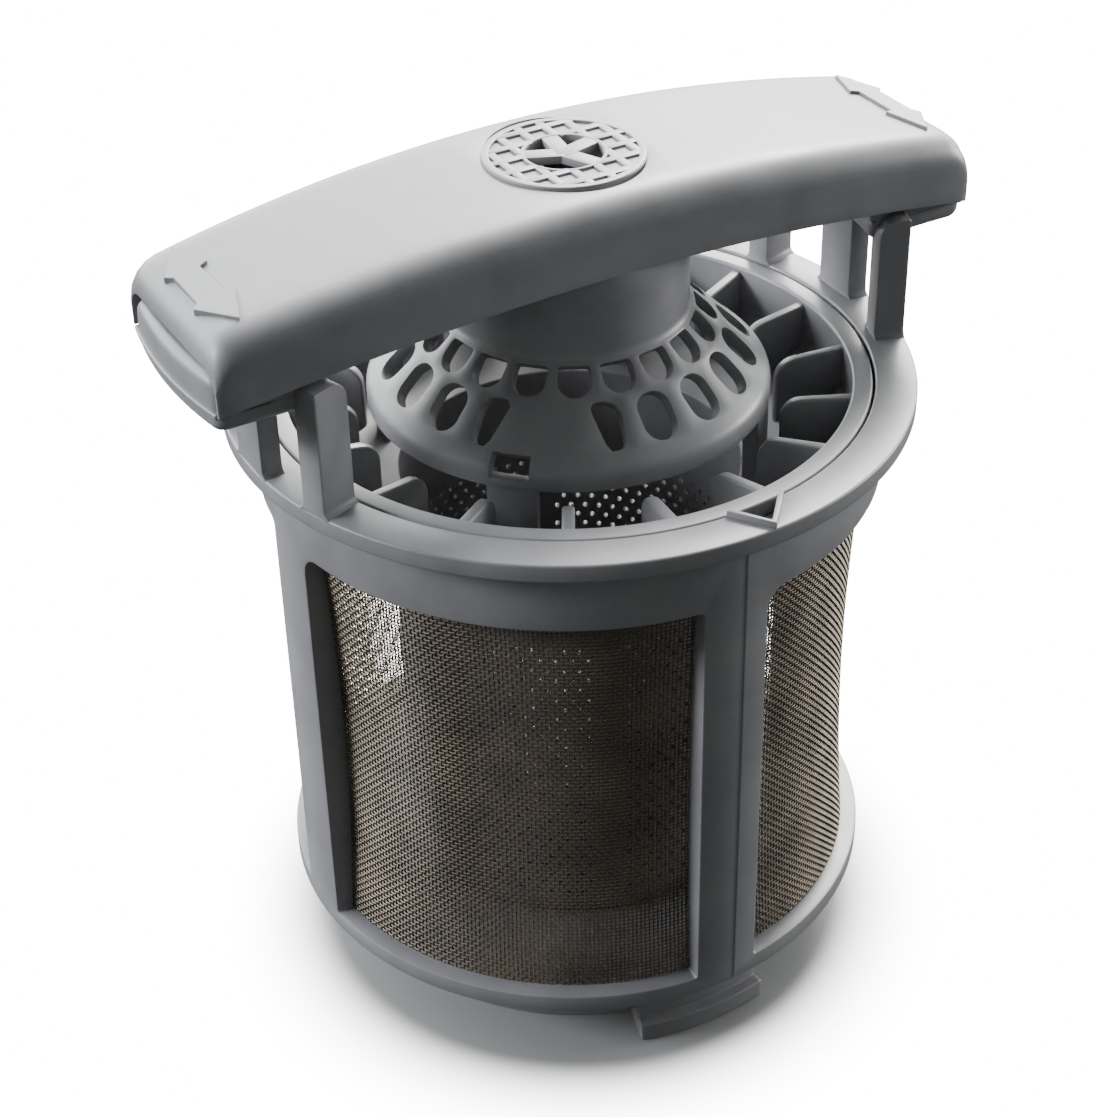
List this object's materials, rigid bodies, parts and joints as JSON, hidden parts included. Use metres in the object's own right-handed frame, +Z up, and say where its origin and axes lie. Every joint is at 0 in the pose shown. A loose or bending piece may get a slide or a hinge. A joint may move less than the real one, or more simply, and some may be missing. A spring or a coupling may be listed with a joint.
{
  "type": "dishwasher drain filter",
  "caption": "Grey two-part dishwasher drain filter: a fine wire mesh cup with a wide flange, and a coarse filter with a domed handle that lifts out.",
  "frame": {"origin": "centre of the surface that the filter stands on, on the cup's axis", "axes": "+Z up along the cup's axis, +X along the handle"},
  "size_m": [0.111, 0.092, 0.1174],
  "materials": {
    "grey_plastic": "satin",
    "wire_mesh": "satin"
  },
  "bodies": {
    "fine_filter": {"flange_ring": "grey_plastic", "cup_frame": "grey_plastic", "mesh_front": "wire_mesh", "mesh_right": "wire_mesh", "mesh_back": "wire_mesh", "mesh_left": "wire_mesh", "base_plate": "grey_plastic"},
    "coarse_filter": {"coarse_handle": "grey_plastic", "coarse_ring": "grey_plastic", "strainer_tube": "grey_plastic"}
  },
  "joints": [
    {"name": "coarse_lift", "type": "slide", "parent": "fine_filter", "child": "coarse_filter", "axis": [0, 0, 1], "range_m": [0, 0.105]}
  ]
}
